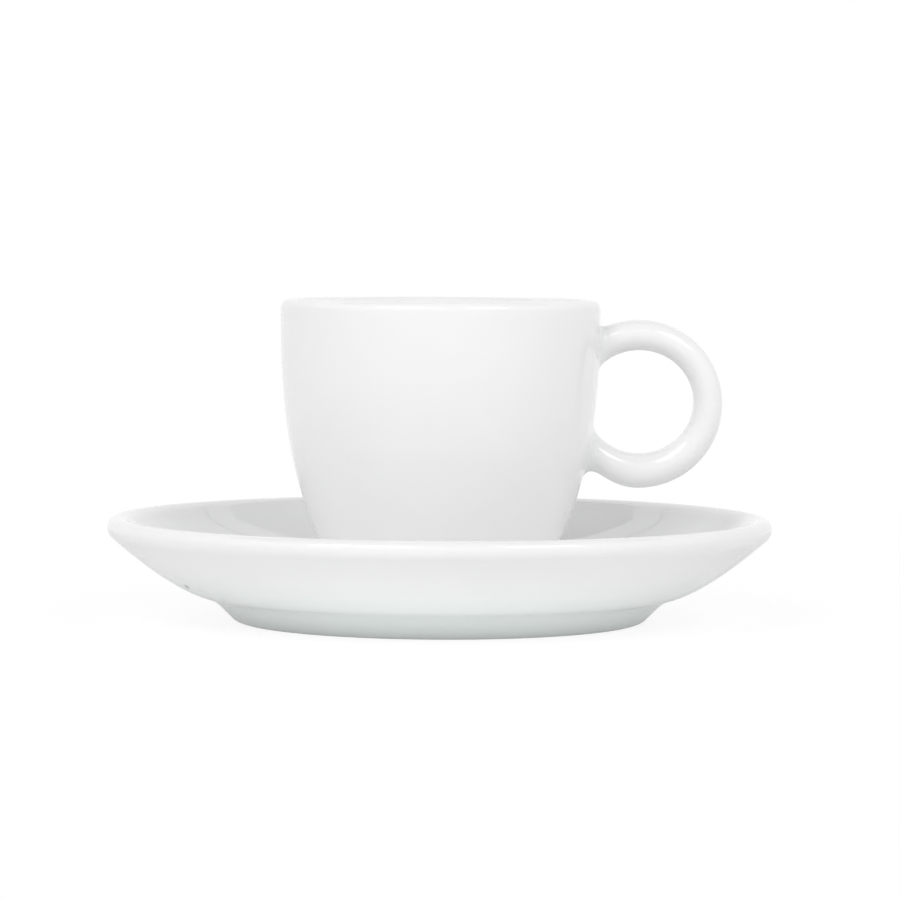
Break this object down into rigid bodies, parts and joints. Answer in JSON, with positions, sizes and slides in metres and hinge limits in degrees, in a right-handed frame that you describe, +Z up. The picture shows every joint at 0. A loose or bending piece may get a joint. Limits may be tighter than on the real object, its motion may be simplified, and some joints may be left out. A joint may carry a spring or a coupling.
{
  "type": "cappuccino cup with saucer",
  "caption": "White glazed porcelain cup with a round ring handle and a thick rounded rim, standing in the shallow seat of a matching saucer with a foot ring.",
  "frame": {"origin": "on the common axis of cup and saucer, in the plane that the saucer's foot ring stands on", "axes": "+Z up along the axis, +X towards the cup's handle, +Y away from the picture's viewer"},
  "size_m": [0.16, 0.16, 0.0774],
  "materials": {
    "porcelain_glaze": "glossy clear glaze over a white porcelain body, with bare matt foot faces",
    "slip_seam": "wiped porcelain slip under the same glossy glaze"
  },
  "bodies": {
    "saucer": {"saucer": "porcelain_glaze"},
    "cup": {"cup_body": "porcelain_glaze", "handle": "porcelain_glaze", "upper_slip_seam": "slip_seam", "lower_slip_seam": "slip_seam"}
  },
  "joints": [
    {"name": "cup_lift", "type": "slide", "parent": "saucer", "child": "cup", "axis": [0, 0, 1], "range_m": [0, 0.04]}
  ]
}
